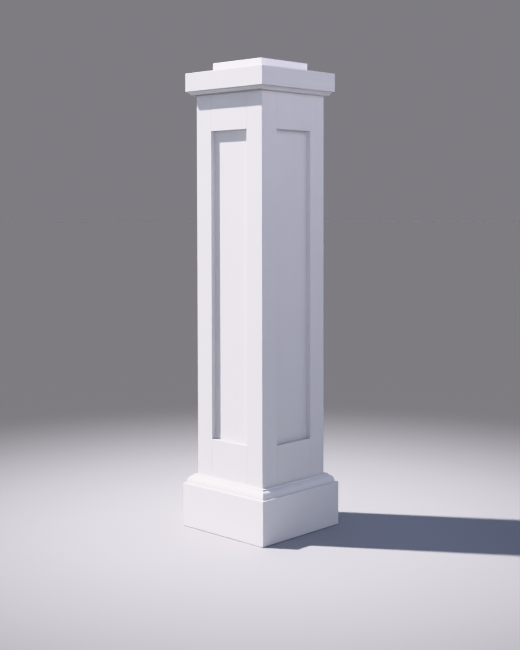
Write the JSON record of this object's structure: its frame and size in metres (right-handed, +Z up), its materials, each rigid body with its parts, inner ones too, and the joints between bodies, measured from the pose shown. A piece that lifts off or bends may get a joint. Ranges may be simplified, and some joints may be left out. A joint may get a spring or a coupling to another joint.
{
  "type": "newel post",
  "caption": "Square hollow newel post with flat recessed panels, a plinth with a base moulding, and a stepped overhanging cap.",
  "frame": {"origin": "middle of the post's footprint, on the ground", "axes": "+Z up along the post, +X and +Y square to its sides; the front faces -Y"},
  "size_m": [0.2908, 0.2908, 1.2167],
  "materials": {
    "pvc_shaft": "satin white cellular PVC board",
    "pvc_base": "satin white cellular PVC board and moulding, slightly dusty near the ground",
    "pvc_cap": "satin white cellular PVC board and moulding"
  },
  "bodies": {
    "root": {"base_moulding_back": "pvc_base", "base_moulding_front": "pvc_base", "base_moulding_left": "pvc_base", "base_moulding_right": "pvc_base", "bed_moulding_back": "pvc_cap", "bed_moulding_front": "pvc_cap", "bed_moulding_left": "pvc_cap", "bed_moulding_right": "pvc_cap", "cap_block": "pvc_cap", "cap_deck": "pvc_cap", "cap_fascia_back": "pvc_cap", "cap_fascia_front": "pvc_cap", "cap_fascia_left": "pvc_cap", "cap_fascia_right": "pvc_cap", "panel_back": "pvc_shaft", "panel_front": "pvc_shaft", "panel_left": "pvc_shaft", "panel_right": "pvc_shaft", "plinth_back": "pvc_base", "plinth_front": "pvc_base", "plinth_left": "pvc_base", "plinth_right": "pvc_base", "rail_back_bottom": "pvc_shaft", "rail_back_top": "pvc_shaft", "rail_front_bottom": "pvc_shaft", "rail_front_top": "pvc_shaft", "rail_left_bottom": "pvc_shaft", "rail_left_top": "pvc_shaft", "rail_right_bottom": "pvc_shaft", "rail_right_top": "pvc_shaft", "stile_back_left": "pvc_shaft", "stile_back_right": "pvc_shaft", "stile_front_left": "pvc_shaft", "stile_front_right": "pvc_shaft", "stile_left_left": "pvc_shaft", "stile_left_right": "pvc_shaft", "stile_right_left": "pvc_shaft", "stile_right_right": "pvc_shaft"}
  },
  "joints": []
}
